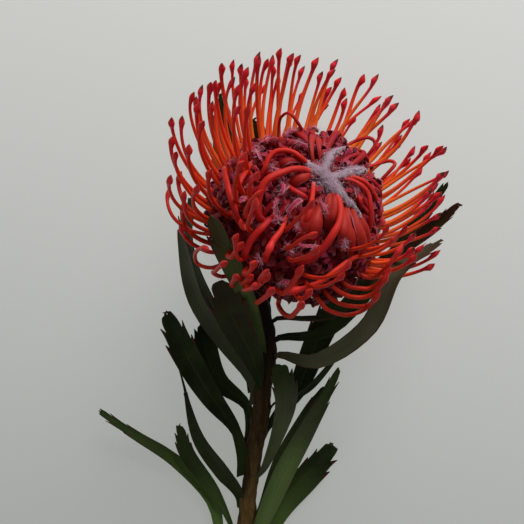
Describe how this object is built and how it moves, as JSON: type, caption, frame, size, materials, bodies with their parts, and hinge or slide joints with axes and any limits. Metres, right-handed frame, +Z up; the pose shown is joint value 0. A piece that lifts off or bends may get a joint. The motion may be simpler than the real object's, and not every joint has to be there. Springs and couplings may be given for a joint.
{
  "type": "pincushion protea",
  "caption": "Cut pincushion protea lying down: a domed head of curled florets ringed by knobbed wire-like styles, on a woody stem with toothed leaves.",
  "frame": {"origin": "on the surface that the flower lies on, under the middle of the object's box", "axes": "+Z up, +Y along the stem from its cut end towards the bloom, +X to the side that the bloom leans to"},
  "size_m": [0.1449, 0.2463, 0.0995],
  "materials": {
    "stem": "dull olive-brown bark",
    "bracts": "dry red-brown bracts with pale hairs",
    "florets": "waxy orange-red styles over crimson felted perianths",
    "wool": "pale pinkish-white wool",
    "leaf": "leathery dark green, red-brown at the margins"
  },
  "bodies": {
    "root": {"stem": "stem", "involucre": "bracts", "flower_head": "florets", "woolly_centre": "wool", "leaf_front_wide": "leaf", "leaf_front_slim": "leaf", "leaf_left_outer": "leaf", "leaf_left_inner": "leaf", "leaf_left_toothed": "leaf", "leaf_left_under": "leaf", "leaf_left_slim": "leaf", "leaf_left_long": "leaf", "leaf_left_short": "leaf", "leaf_right_curved": "leaf", "leaf_right_upper": "leaf", "leaf_right_back": "leaf", "leaf_right_dark": "leaf", "leaf_right_edge": "leaf", "leaf_right_lobed": "leaf", "leaf_right_tall": "leaf", "leaf_right_low": "leaf", "leaf_right_thin": "leaf", "leaf_back_left": "leaf", "leaf_back_middle": "leaf"}
  },
  "joints": []
}
